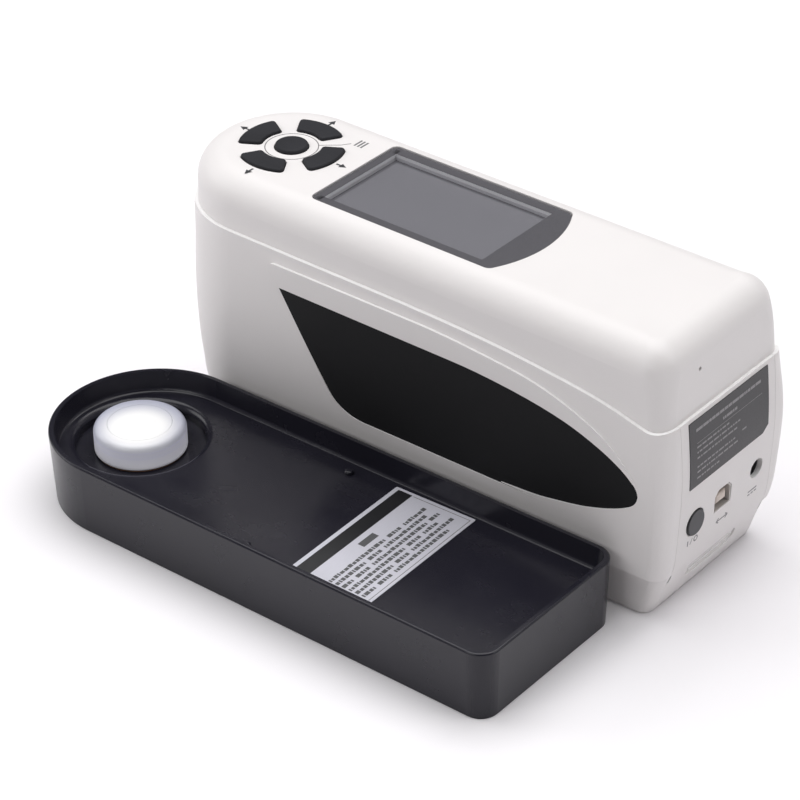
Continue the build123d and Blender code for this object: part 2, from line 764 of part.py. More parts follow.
with BuildPart() as key_up:
    add(arc_key(180))
key_up.part.label = "key_up"
export_step(key_up.part, "parts/key_up.step")

with BuildPart() as key_left:
    add(arc_key(270))
key_left.part.label = "key_left"
export_step(key_left.part, "parts/key_left.step")

with BuildPart() as key_centre:
    with BuildSketch(top_plane(KEY_X, FLANGE_D)):
        Circle(CENTRE_KEY_R)
    extrude(amount=FLANGE_D + KEY_PROUD + 0.25)
    fillet(key_centre.faces().sort_by(Axis.Z)[-1].edges(), 0.9)
    with BuildSketch(top_plane(KEY_X, FLANGE_D + 1.0)):
        Circle(CENTRE_KEY_R + 1.2)
    extrude(amount=1.0)
key_centre.part.label = "key_centre"
export_step(key_centre.part, "parts/key_centre.step")

with BuildPart() as keypad_board:
    with BuildSketch(top_plane(KEY_X, 6.2)):
        with Locations((1.25, 0)):
            RectangleRounded(44.5, 34, 3)
    extrude(amount=-1.6)
    with BuildSketch(top_plane(KEY_X, 6.2)):
        with Locations((21, 14), (21, -14), (-18.5, 14.5), (-18.5, -14.5)):
            Circle(1.1)
    extrude(amount=-1.6, mode=Mode.SUBTRACT)
keypad_board.part.label = "keypad_board"
export_step(keypad_board.part, "parts/keypad_board.step")

# five metal dome contacts, one under each key
with BuildPart() as dome_contacts:
    with BuildSketch(top_plane(KEY_X, 6.2)):
        with PolarLocations(13.8, 4):
            Circle(2.5)
        Circle(2.5)
    extrude(amount=0.5)
    chamfer(dome_contacts.faces().filter_by(GeomType.PLANE)
            .group_by(Axis.Z)[-1].edges(), 0.3)
dome_contacts.part.label = "dome_contacts"
export_step(dome_contacts.part, "parts/dome_contacts.step")

with BuildPart() as keypad_screws:
    with BuildSketch(top_plane(KEY_X, 7.8)):
        with Locations((21, 14), (21, -14), (-18.5, 14.5), (-18.5, -14.5)):
            Circle(1.8)
    extrude(amount=-1.0)
    with BuildSketch(top_plane(KEY_X, 7.8)):
        with Locations((21, 14), (21, -14), (-18.5, 14.5), (-18.5, -14.5)):
            Circle(0.85)
    extrude(amount=3.8)
keypad_screws.part.label = "keypad_screws"
export_step(keypad_screws.part, "parts/keypad_screws.step")

# ---------------------------------------------------------------------------
# main board
# ---------------------------------------------------------------------------
with BuildPart() as main_board:
    with BuildSketch(Plane.XY.offset(80.0)):
        with Locations((20, 0)):
            RectangleRounded(120, 56, 2)
        with Locations(*BOARD_SCREWS):
            Circle(1.35, mode=Mode.SUBTRACT)
    extrude(amount=1.6)
main_board.part.label = "main_board"
export_step(main_board.part, "parts/main_board.step")

with BuildPart() as board_chips:
    with BuildSketch(Plane.XY.offset(81.6)):
        with Locations((-8, 0)):
            Rectangle(14, 14)
        with Locations((18, 8)):
            Rectangle(10, 8)
        with Locations((18, -9)):
            Rectangle(11, 7)
        with Locations((46, 4)):
            Rectangle(9, 9)
        with Locations((62, -10)):
            Rectangle(7, 5)
    extrude(amount=1.4)
board_chips.part.label = "board_chips"
export_step(board_chips.part, "parts/board_chips.step")

with BuildPart() as board_screws:
    with BuildSketch(Plane.XY.offset(78.4)):
        with Locations(*BOARD_SCREWS):
            Circle(2.2)
    extrude(amount=1.6)
    with BuildSketch(Plane.XY.offset(80.0)):
        with Locations(*BOARD_SCREWS):
            Circle(1.2)
    extrude(amount=7.5)
board_screws.part.label = "board_screws"
export_step(board_screws.part, "parts/board_screws.step")

# ---------------------------------------------------------------------------
# connectors on their upright board
# ---------------------------------------------------------------------------
PORT_BOARD_X = 86.0
with BuildPart() as port_board:
    with BuildSketch(Plane.YZ.offset(PORT_BOARD_X - 1.6)):
        with Locations((0.3, 32.4)):
            RectangleRounded(47, 27, 2)
    extrude(amount=1.6)
port_board.part.label = "port_board"
export_step(port_board.part, "parts/port_board.step")

PORT_FACE_X = 100.2
USB_FRONT_X = 102.7
DC_FRONT_X = 101.3
SWITCH_FRONT_X = 103.6
with BuildPart() as usb_shell:
    with BuildSketch(Plane.YZ.offset(PORT_BOARD_X)) as usb_out:
        with BuildLine():
            w, h, c = USB_W / 2 - 0.12, USB_H / 2 - 0.12, 1.85
            Polyline((USB_Y - w, USB_Z - h), (USB_Y + w, USB_Z - h),
                     (USB_Y + w, USB_Z + h - c), (USB_Y + w - c, USB_Z + h),
                     (USB_Y - w + c, USB_Z + h), (USB_Y - w, USB_Z + h - c),
                     close=True)
        make_face()
    extrude(amount=USB_FRONT_X - PORT_BOARD_X)
    with BuildSketch(Plane.YZ.offset(PORT_BOARD_X + 2.0)) as usb_in:
        with BuildLine():
            w, h, c = USB_W / 2 - 0.5, USB_H / 2 - 0.5, 1.7
            Polyline((USB_Y - w, USB_Z - h), (USB_Y + w, USB_Z - h),
                     (USB_Y + w, USB_Z + h - c), (USB_Y + w - c, USB_Z + h),
                     (USB_Y - w + c, USB_Z + h), (USB_Y - w, USB_Z + h - c),
                     close=True)
        make_face()
    extrude(amount=30, mode=Mode.SUBTRACT)
usb_shell.part.label = "usb_shell"
export_step(usb_shell.part, "parts/usb_shell.step")

with BuildPart() as usb_tongue:
    with BuildSketch(Plane.YZ.offset(PORT_BOARD_X + 2.0)):
        with Locations((USB_Y, USB_Z - 0.2)):
            Rectangle(5.4, 3.1)
    extrude(amount=14.2)
    chamfer(usb_tongue.faces().sort_by(Axis.X)[-1].edges(), 0.4)
usb_tongue.part.label = "usb_tongue"
export_step(usb_tongue.part, "parts/usb_tongue.step")

with BuildPart() as dc_jack:
    with BuildSketch(Plane.YZ.offset(PORT_BOARD_X)):
        with Locations((DC_Y, DC_Z)):
            RectangleRounded(9.0, 9.4, 0.6)
    extrude(amount=PORT_FACE_X - 1.1 - PORT_BOARD_X)
    # collar that reaches into the round hole of the panel
    with BuildSketch(Plane.YZ.offset(PORT_BOARD_X + 10)):
        with Locations((DC_Y, DC_Z)):
            Circle(DC_R - 0.12)
    extrude(amount=DC_FRONT_X - PORT_BOARD_X - 10)
    with BuildSketch(Plane.YZ.offset(PORT_BOARD_X + 2.5)):
        with Locations((DC_Y, DC_Z)):
            Circle(2.85)
    extrude(amount=30, mode=Mode.SUBTRACT)
dc_jack.part.label = "dc_jack"
export_step(dc_jack.part, "parts/dc_jack.step")

with BuildPart() as dc_pin:
    with BuildSketch(Plane.YZ.offset(PORT_BOARD_X + 2.5)):
        with Locations((DC_Y, DC_Z)):
            Circle(1.0)
    extrude(amount=11.4)
    fillet(dc_pin.faces().sort_by(Axis.X)[-1].edges(), 0.5)
dc_pin.part.label = "dc_pin"
export_step(dc_pin.part, "parts/dc_pin.step")

SWITCH_TRAVEL = 1.5
with BuildPart() as switch_body:
    with BuildSketch(Plane.YZ.offset(PORT_BOARD_X)):
        with Locations((SWITCH_Y, SWITCH_Z)):
            RectangleRounded(10.6, 10.6, 0.8)
    extrude(amount=9.0)
    with BuildSketch(Plane.YZ.offset(PORT_BOARD_X + 2.0)):
        with Locations((SWITCH_Y, SWITCH_Z)):
            Circle(2.8)
    extrude(amount=30, mode=Mode.SUBTRACT)
switch_body.part.label = "switch_body"
export_step(switch_body.part, "parts/switch_body.step")

with BuildPart() as switch_button:
    with BuildSketch(Plane.YZ.offset(PORT_BOARD_X + 4.2)):
        with Locations((SWITCH_Y, SWITCH_Z)):
            Circle(2.45)
    extrude(amount=8.0)
    with BuildSketch(Plane.YZ.offset(PORT_BOARD_X + 11.4)):
        with Locations((SWITCH_Y, SWITCH_Z)):
            Circle(SWITCH_R - 0.25)
    extrude(amount=SWITCH_FRONT_X - PORT_BOARD_X - 11.4)
    fillet(switch_button.faces().sort_by(Axis.X)[-1].edges(), 0.5)
switch_button.part.label = "switch_button"
export_step(switch_button.part, "parts/switch_button.step")

# ---------------------------------------------------------------------------
# rechargeable battery in its cradle
# ---------------------------------------------------------------------------
with BuildPart() as battery_cells:
    with BuildSketch(Plane.YZ.offset(-8)):
        with Locations((-9.4, 14.2), (9.4, 14.2)):
            Circle(9.15)
    extrude(amount=65)
    fillet(battery_cells.edges(), 0.8)
battery_cells.part.label = "battery_cells"
export_step(battery_cells.part, "parts/battery_cells.step")

with BuildPart() as battery_cradle:
    with BuildSketch(Plane.YZ.offset(-11)):
        with Locations((0, BASE_T)):
            Rectangle(41.4, 12, align=(Align.CENTER, Align.MIN))
    extrude(amount=71)
    with BuildSketch(Plane.YZ.offset(-8.3)):
        with Locations((-9.4, 14.2), (9.4, 14.2)):
            Circle(9.3)
        with Locations((0, 14.2)):
            Rectangle(37.4, 12, align=(Align.CENTER, Align.MIN))
    extrude(amount=65.6, mode=Mode.SUBTRACT)
battery_cradle.part.label = "battery_cradle"
export_step(battery_cradle.part, "parts/battery_cradle.step")

# ---------------------------------------------------------------------------
# calibration tray: open tray with a round well for the white tile
# ---------------------------------------------------------------------------
tray_level = Plane.XY


def tray_outline(inset):
    r = TRAY_R - inset
    e = TRAY_END_X - inset
    c = max(TRAY_CORNER - inset, 1.0)
    q = c * (1 - math.cos(math.radians(45)))
    x, y = TRAY_X, TRAY_Y
    Line((x, y - r), (x + e - c, y - r))
    ThreePointArc((x + e - c, y - r), (x + e - q, y - r + q), (x + e, y - r + c))
    Line((x + e, y - r + c), (x + e, y + r - c))
    ThreePointArc((x + e, y + r - c), (x + e - q, y + r - q), (x + e - c, y + r))
    Line((x + e - c, y + r), (x, y + r))
    ThreePointArc((x, y + r), (x - r, y), (x, y - r))


def tray_form(levels):
    with BuildPart() as form:
        for z, inset in levels:
            with BuildSketch(Plane.XY.offset(z)):
                with BuildLine():
                    tray_outline(inset)
                make_face()
        loft(ruled=True)
    return form.part


with BuildPart() as tray_inside:
    add(tray_form([(TRAY_FLOOR, TRAY_WALL + 0.9), (TRAY_H + 1, TRAY_WALL)]))
    fillet(tray_inside.faces().sort_by(Axis.Z)[0].edges(), 1.3)

with BuildPart() as underside:
    add(tray_form([(-1, TRAY_WALL + TRAY_DRAFT),
                   (TRAY_FLOOR - TRAY_SKIN, TRAY_WALL + 0.9)]))
    with BuildSketch(Plane.XY.offset(WELL_FLOOR - TRAY_SKIN)):
        with Locations((TRAY_X + WELL_X, TRAY_Y)):
            Circle(WELL_R + TRAY_SKIN)
    extrude(amount=20, mode=Mode.SUBTRACT)

with BuildPart() as tray:
    add(tray_form([(0, TRAY_DRAFT), (TRAY_H, 0)]))
    fillet(tray.faces().sort_by(Axis.Z)[-1].edges(), 0.7)
    # inside, above the floor
    add(tray_inside.part, mode=Mode.SUBTRACT)
    # well for the white tile, with a rolled edge
    with BuildSketch(Plane.XZ.offset(-TRAY_Y)):
        with BuildLine():
            wx = TRAY_X + WELL_X
            zf, zw = TRAY_FLOOR, WELL_FLOOR
            Polyline((wx, zf + 1), (wx, zw), (wx + WELL_R, zw),
                     (wx + WELL_R, zf - 2.2))
            ThreePointArc((wx + WELL_R, zf - 2.2),
                          (wx + WELL_R + 0.65, zf - 0.65),
                          (wx + WELL_R + 2.2, zf))
            Polyline((wx + WELL_R + 2.2, zf), (wx + WELL_R + 2.2, zf + 1),
                     (wx, zf + 1))
        make_face()
    revolve(axis=Axis((TRAY_X + WELL_X, TRAY_Y, 0), (0, 0, 1)),
            mode=Mode.SUBTRACT)
    # hollow underside
    add(underside.part, mode=Mode.SUBTRACT)
tray.part.label = "calibration_tray"
export_step(tray.part, "parts/calibration_tray.step")

with BuildPart() as tile_pad:
    with BuildSketch(Plane.XY.offset(WELL_FLOOR)):
        with Locations((TRAY_X + WELL_X, TRAY_Y)):
            Circle(TILE_R - 0.5)
    extrude(amount=PAD_T)
tile_pad.part.label = "tile_pad"
export_step(tile_pad.part, "parts/tile_pad.step")

# opal body of the white standard, with the reference face set in its top
with BuildPart() as tile_body:
    with BuildSketch(Plane.XY.offset(WELL_FLOOR + PAD_T)):
        with Locations((TRAY_X + WELL_X, TRAY_Y)):
            Circle(TILE_R)
    extrude(amount=TILE_TOP - WELL_FLOOR - PAD_T)
    fillet(tile_body.faces().sort_by(Axis.Z)[-1].edges(), 2.4)
    fillet(tile_body.faces().sort_by(Axis.Z)[0].edges(), 0.6)
    with BuildSketch(Plane.XY.offset(TILE_TOP)):
        with Locations((TRAY_X + WELL_X, TRAY_Y)):
            Circle(10.6)
    extrude(amount=-2.0, mode=Mode.SUBTRACT)
tile_body.part.label = "tile_body"
export_step(tile_body.part, "parts/tile_body.step")

with BuildPart() as white_tile:
    with BuildSketch(Plane.XY.offset(TILE_TOP - 2.0)):
        with Locations((TRAY_X + WELL_X, TRAY_Y)):
            Circle(10.5)
    extrude(amount=2.0)
white_tile.part.label = "white_tile"
export_step(white_tile.part, "parts/white_tile.step")

with BuildPart() as tray_label:
    with BuildSketch(Plane.XY.offset(TRAY_FLOOR)):
        with Locations((22.8, TRAY_Y + 1.85)):
            RectangleRounded(30.9, 53.3, 0.5, rotation=1.4)
    extrude(amount=0.15)
tray_label.part.label = "tray_label"
export_step(tray_label.part, "parts/tray_label.step")

with BuildPart() as tray_studs:
    with BuildSketch(Plane.XY.offset(TRAY_FLOOR)):
        with Locations((-10.2, TRAY_Y + 24.9), (-10.2, TRAY_Y - 24.9)):
            Circle(1.6)
    extrude(amount=1.3)
    fillet(tray_studs.faces().group_by(Axis.Z)[-1].edges(), 0.9)
tray_studs.part.label = "tray_studs"
export_step(tray_studs.part, "parts/tray_studs.step")
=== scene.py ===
import json
import math

import bpy
from mathutils import Matrix, Vector
from mathutils.bvhtree import BVHTree


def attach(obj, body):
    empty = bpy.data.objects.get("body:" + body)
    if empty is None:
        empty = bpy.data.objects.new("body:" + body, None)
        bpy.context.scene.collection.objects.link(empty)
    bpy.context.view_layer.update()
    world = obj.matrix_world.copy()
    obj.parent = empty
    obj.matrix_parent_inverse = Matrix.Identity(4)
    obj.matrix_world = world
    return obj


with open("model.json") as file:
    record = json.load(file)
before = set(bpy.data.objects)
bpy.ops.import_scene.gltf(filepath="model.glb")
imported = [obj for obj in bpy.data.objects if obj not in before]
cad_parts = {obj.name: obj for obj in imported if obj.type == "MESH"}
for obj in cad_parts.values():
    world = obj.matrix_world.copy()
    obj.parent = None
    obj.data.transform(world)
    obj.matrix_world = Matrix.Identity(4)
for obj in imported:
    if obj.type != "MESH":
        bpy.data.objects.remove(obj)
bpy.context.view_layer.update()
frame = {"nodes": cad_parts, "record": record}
nodes = frame["nodes"]
MM = 0.001

# ---------------------------------------------------------------------------
# shape facts of the CAD part that the printed marks follow, in millimetres
# ---------------------------------------------------------------------------
KEY_X = -67.8
TOP_X, TOP_Z, TOP_TAN = -67.8, 97.2, 0.015
TRAY_X, TRAY_Y, TRAY_FLOOR = -72.15, -68.36, 16.83
WELL_CX = TRAY_X - 5.4
LENS = dict(x0=-42.0, x1=28.6, bulge=34.8, w=21.7, t=1.6, sink=0.15)
WINDOW = dict(x0=-38.9, x1=23.4, w=17.9)


# ---------------------------------------------------------------------------
# node materials
# ---------------------------------------------------------------------------
class Tree:
    """A small helper around one material's nodes."""

    def __init__(self, name):
        self.mat = bpy.data.materials.new(name)
        self.mat.use_nodes = True
        self.nt = self.mat.node_tree
        self.nt.nodes.clear()
        self.out = self.new("ShaderNodeOutputMaterial")
        self.coord = self.new("ShaderNodeTexCoord").outputs["Object"]

    def new(self, kind, **props):
        n = self.nt.nodes.new(kind)
        for k, v in props.items():
            setattr(n, k, v)
        return n

    def link(self, a, b):
        self.nt.links.new(a, b)

    def noise(self, scale, detail=2.0, rough=0.5, stretch=None, offset=0.0):
        src = self.coord
        if stretch or offset:
            m = self.new("ShaderNodeMapping")
            m.inputs["Scale"].default_value = stretch or (1, 1, 1)
            m.inputs["Location"].default_value = (offset, offset * 0.7, -offset)
            self.link(src, m.inputs["Vector"])
            src = m.outputs[0]
        n = self.new("ShaderNodeTexNoise")
        n.inputs["Scale"].default_value = scale
        n.inputs["Detail"].default_value = detail
        n.inputs["Roughness"].default_value = rough
        self.link(src, n.inputs["Vector"])
        return n.outputs["Fac"]

    def ranged(self, value, lo, hi, a=0.3, b=0.7, smooth=False):
        n = self.new("ShaderNodeMapRange")
        if smooth:
            n.interpolation_type = "SMOOTHSTEP"
        n.inputs["From Min"].default_value = a
        n.inputs["From Max"].default_value = b
        n.inputs["To Min"].default_value = lo
        n.inputs["To Max"].default_value = hi
        self.link(value, n.inputs["Value"])
        return n.outputs[0]

    def math(self, op, a, b=None):
        n = self.new("ShaderNodeMath", operation=op)
        for i, v in enumerate((a, b)):
            if v is None:
                continue
            if isinstance(v, (int, float)):
                n.inputs[i].default_value = v
            else:
                self.link(v, n.inputs[i])
        return n.outputs[0]

    def mix(self, fac, a, b):
        n = self.new("ShaderNodeMix", data_type="RGBA")
        if isinstance(fac, (int, float)):
            n.inputs["Factor"].default_value = fac
        else:
            self.link(fac, n.inputs["Factor"])
        for name, v in (("A", a), ("B", b)):
            s = [i for i in n.inputs if i.name == name and i.type == "RGBA"][0]
            if isinstance(v, (tuple, list)):
                s.default_value = (*v[:3], 1)
            else:
                self.link(v, s)
        return [o for o in n.outputs if o.type == "RGBA"][0]

    def bump(self, height, strength, distance):
        n = self.new("ShaderNodeBump")
        n.inputs["Strength"].default_value = strength
        n.inputs["Distance"].default_value = distance
        self.link(height, n.inputs["Height"])
        return n.outputs[0]

    def xyz(self):
        n = self.new("ShaderNodeSeparateXYZ")
        self.link(self.coord, n.inputs[0])
        return n.outputs

    def principled(self, **values):
        p = self.new("ShaderNodeBsdfPrincipled")
        for k, v in values.items():
            s = p.inputs[k.replace("_", " ")]
            if isinstance(v, bpy.types.NodeSocket):
                self.link(v, s)
            elif isinstance(v, (tuple, list)) and s.type == "RGBA":
                s.default_value = (*v[:3], 1)
            else:
                s.default_value = v
        return p

    def finish(self, shader):
        self.link(shader, self.out.inputs["Surface"])
        return self.mat


def plastic(name, base, rough, grain=2600, grain_h=0.00002, grain_s=0.12,
            tone=0.03, patch=28, rough_var=0.05, ior=1.5, **more):
    """Moulded plastic: slow tone variation, handling marks in the gloss and
    a fine moulded grain."""
    t = Tree(name)
    slow = t.noise(patch, 3, 0.55)
    dark = tuple(c * (1 - tone) for c in base)
    lite = tuple(min(1, c * (1 + tone)) for c in base)
    colour = t.mix(t.ranged(slow, 0, 1), dark, lite)
    smear = t.noise(patch * 2.6, 4, 0.6, stretch=(1, 1.6, 1), offset=3.1)
    gloss = t.ranged(smear, rough - rough_var, rough + rough_var, 0.32, 0.68)
    fine = t.noise(grain, 2, 0.5, offset=1.7)
    p = t.principled(Base_Color=colour, Roughness=gloss, IOR=ior,
                     Normal=t.bump(fine, grain_s, grain_h), **more)
    return t.finish(p.outputs[0])


def metal(name, base, rough, scale=900, stretch=(1, 1, 12)):
    t = Tree(name)
    brush = t.noise(scale, 3, 0.6, stretch=stretch)
    colour = t.mix(t.ranged(brush, 0, 1), tuple(c * 0.86 for c in base), base)
    p = t.principled(Base_Color=colour, Metallic=1.0,
                     Roughness=t.ranged(brush, rough - 0.06, rough + 0.08),
                     Normal=t.bump(brush, 0.1, 0.00001))
    return t.finish(p.outputs[0])


def shell(name, base, rough, rough_var):
    """White moulded shell. Faces that look up below about 82 mm, chiefly the
    narrow step where the shells part between 66 and 82 mm, get a painted
    highlight: a lighter colour where light from above falls on them."""
    t = Tree(name)
    slow = t.noise(28, 3, 0.55)
    colour = t.mix(t.ranged(slow, 0, 1), tuple(c * 0.992 for c in base),
                   tuple(c * 1.008 for c in base))
    x, y, z = t.xyz()
    face = t.new("ShaderNodeNewGeometry")
    split = t.new("ShaderNodeSeparateXYZ")
    t.link(face.outputs["Normal"], split.inputs[0])
    # painted highlight: faces that look up, below 82 mm, are turned lighter
    up = t.ranged(split.outputs[2], 0, 1, 0.45, 0.85, smooth=True)
    low = t.ranged(z, 1, 0, 0.0815, 0.0830)
    painted_ledge_highlight = t.math("MULTIPLY", up, low)
    colour = t.mix(painted_ledge_highlight, colour, (0.985, 0.975, 0.975))
    smear = t.noise(73, 4, 0.6, stretch=(1, 1.6, 1), offset=3.1)
    fine = t.noise(2400, 2, 0.5, offset=1.7)
    p = t.principled(Base_Color=colour, IOR=1.5,
                     Roughness=t.ranged(smear, rough - rough_var,
                                        rough + rough_var, 0.32, 0.68),
                     Normal=t.bump(fine, 0.10, 0.00002))
    return t.finish(p.outputs[0])


WHITE = (0.80, 0.772, 0.768)
shell_white = shell("shell_white", WHITE, 0.46, 0.05)
panel_white = shell("panel_white", (0.79, 0.762, 0.758), 0.48, 0.04)
base_grey = plastic("base_grey", (0.74, 0.73, 0.72), 0.5, tone=0.02)
key_rubber = plastic("key_rubber", (0.027, 0.027, 0.031), 0.62, grain=3200,
                     grain_s=0.16, tone=0.12, patch=60, rough_var=0.07,
                     Specular_IOR_Level=0.16)
tray_black = plastic("tray_black", (0.0135, 0.0128, 0.0200), 0.25, grain=2100,
                     grain_s=0.05, tone=0.10, patch=22, rough_var=0.04,
                     Specular_IOR_Level=0.38)
switch_black = plastic("switch_black", (0.03, 0.03, 0.034), 0.4, tone=0.1,
                       patch=120)
nickel_shell = plastic("nickel_shell", (0.68, 0.655, 0.635), 0.42, tone=0.04,
                       patch=160, Metallic=0.5)


def button_grey():
    """Power button: grey face, black down its side as painted shade."""
    t = Tree("button_grey")
    split = t.new("ShaderNodeSeparateXYZ")
    t.link(t.new("ShaderNodeNewGeometry").outputs["Normal"], split.inputs[0])
    # painted shade: every face but the front one is near-black
    face = t.ranged(split.outputs[0], 0, 1, 0.80, 0.99, smooth=True)
    slow = t.noise(120, 3, 0.55)
    p = t.principled(Base_Color=t.mix(face, (0.006, 0.006, 0.007),
                                      (0.047, 0.047, 0.053)),
                     Roughness=t.ranged(slow, 0.40, 0.50))
    return t.finish(p.outputs[0])


cradle_black = plastic("cradle_black", (0.05, 0.05, 0.05), 0.55, tone=0.1)
frame_dark = plastic("frame_dark", (0.04, 0.04, 0.042), 0.55, tone=0.1)
gasket_grey = plastic("gasket_grey", (0.62, 0.615, 0.63), 0.6, tone=0.04)
wall_pale = plastic("wall_pale", (0.72, 0.715, 0.735), 0.6, tone=0.04)
ring_black = plastic("ring_black", (0.035, 0.035, 0.035), 0.6, tone=0.1)
chip_black = plastic("chip_black", (0.03, 0.03, 0.03), 0.5, tone=0.1)
tongue_cream = plastic("tongue_cream", (0.66, 0.575, 0.515), 0.5, tone=0.06,
                       patch=200)
sphere_white = plastic("sphere_white", (0.9, 0.9, 0.89), 0.9, tone=0.01)
cell_sleeve = plastic("cell_sleeve", (0.05, 0.16, 0.4), 0.3, tone=0.05)
lamp_clear = plastic("lamp_clear", (0.9, 0.86, 0.6), 0.2, tone=0.02)
board_green = plastic("board_green", (0.02, 0.16, 0.07), 0.35, tone=0.2,
                      patch=90)
contact_metal = metal("contact_metal", (0.62, 0.61, 0.60), 0.28)
screw_steel = metal("screw_steel", (0.42, 0.42, 0.43), 0.35)
dome_steel = metal("dome_steel", (0.7, 0.7, 0.7), 0.2)
brass_pin = metal("brass_pin", (0.78, 0.58, 0.28), 0.25)
tube_black = metal("tube_black", (0.06, 0.06, 0.065), 0.5)


def grip_rubber():
    """Soft black rubber with a close stipple."""
    t = Tree("grip_rubber")
    cells = t.new("ShaderNodeTexVoronoi")
    cells.inputs["Scale"].default_value = 1500
    t.link(t.coord, cells.inputs["Vector"])
    slow = t.noise(34, 3, 0.6)
    colour = t.mix(t.ranged(slow, 0, 1), (0.0060, 0.0060, 0.0070),
                   (0.0085, 0.0085, 0.0100))
    p = t.principled(Base_Color=colour, Specular_IOR_Level=0.32,
                     Roughness=t.ranged(slow, 0.62, 0.74), IOR=1.45,
                     Normal=t.bump(cells.outputs["Distance"], 0.25, 0.00006))
    return t.finish(p.outputs[0])


def lens_clear():
    """Clear hard-coated window: mirrors a little, more at a low angle, and
    lets the rest through."""
    t = Tree("lens_clear")
    weight = t.new("ShaderNodeLayerWeight")
    weight.inputs["Blend"].default_value = 0.5
    share = t.math("ADD", 0.035, t.math(
        "MULTIPLY", 0.9, t.math("POWER", weight.outputs["Facing"], 5.0)))
    clear = t.new("ShaderNodeBsdfTransparent")
    clear.inputs["Color"].default_value = (0.95, 0.95, 0.96, 1)
    gloss = t.new("ShaderNodeBsdfGlossy")
    gloss.inputs["Color"].default_value = (1, 1, 1, 1)
    smear = t.noise(45, 4, 0.6, stretch=(1, 2.2, 1))
    t.link(t.ranged(smear, 0.03, 0.06), gloss.inputs["Roughness"])
    mix = t.new("ShaderNodeMixShader")
    t.link(share, mix.inputs[0])
    t.link(clear.outputs[0], mix.inputs[1])
    t.link(gloss.outputs[0], mix.inputs[2])
    return t.finish(mix.outputs[0])


def display_dark():
    """The display face: grey active area inside a darker edge band."""
    t = Tree("display_dark")
    x, y, z = t.xyz()
    cx = (WINDOW["x0"] + WINDOW["x1"]) / 2 * MM
    hx = (WINDOW["x1"] - WINDOW["x0"]) / 2 * MM - 0.0013
    hy = WINDOW["w"] * MM - 0.0012
    dx = t.math("SUBTRACT", hx, t.math("ABSOLUTE", t.math("SUBTRACT", x, cx)))
    dy = t.math("SUBTRACT", hy, t.math("ABSOLUTE", y))
    inside = t.ranged(t.math("MINIMUM", dx, dy), 0, 1, -0.00012, 0.00012)
    slow = t.noise(30, 3, 0.5)
    active = t.mix(t.ranged(slow, 0, 1), (0.236, 0.233, 0.247),
                   (0.242, 0.239, 0.253))
    colour = t.mix(inside, (0.170, 0.167, 0.179), active)
    p = t.principled(Base_Color=colour, Specular_IOR_Level=0.2,
                     Roughness=t.ranged(slow, 0.5, 0.56))
    return t.finish(p.outputs[0])


def plate_dark():
    """Dark printed film with a light satin."""
    t = Tree("plate_dark")
    slow = t.noise(60, 3, 0.6)
    fine = t.noise(1900, 3, 0.6, offset=2.0)
    colour = t.mix(t.ranged(slow, 0, 1), (0.040, 0.038, 0.042),
                   (0.046, 0.044, 0.048))
    p = t.principled(Base_Color=colour, Roughness=t.ranged(fine, 0.38, 0.5),
                     Normal=t.bump(fine, 0.08, 0.00001))
    return t.finish(p.outputs[0])


def label_silver():
    """Silvered film label with a faint brushed look."""
    t = Tree("label_silver")
    brush = t.noise(420, 4, 0.65, stretch=(14, 1, 1))
    slow = t.noise(40, 2, 0.5, offset=4.0)
    colour = t.mix(t.ranged(brush, 0, 1), (0.56, 0.555, 0.62),
                   (0.61, 0.605, 0.67))
    p = t.principled(Base_Color=colour, Metallic=0.12,
                     Roughness=t.ranged(slow, 0.34, 0.46))
    return t.finish(p.outputs[0])


def ink(name, base, rough=0.5):
    """Screen-printed ink, a little uneven."""
    t = Tree(name)
    spots = t.noise(2600, 3, 0.6)
    colour = t.mix(t.ranged(spots, 0, 1), tuple(c * 0.8 for c in base),
                   tuple(min(1, c * 1.15) for c in base))
    p = t.principled(Base_Color=colour,
                     Roughness=t.ranged(spots, rough - 0.06, rough + 0.06))
    return t.finish(p.outputs[0])


def from_tile_highlight(t, x, y):
    """Distance from the middle of the painted highlight, a little off centre."""
    dx = t.math("SUBTRACT", x, (WELL_CX + 1.9) * MM)
    dy = t.math("SUBTRACT", y, (TRAY_Y - 2.5) * MM)
    return t.math("SQRT", t.math("ADD", t.math("MULTIPLY", dx, dx),
                                 t.math("MULTIPLY", dy, dy)))


# painted highlight on the white standard's top: full white within 7 mm of its
# middle, fading to a grey-blue painted shade by 15.8 mm
TILE_HIGHLIGHT_FADE = (0.0070, 0.0158)
TILE_HIGHLIGHT_MID, TILE_SHADED_RIM = (0.965, 0.96, 0.96), (0.44, 0.45, 0.545)


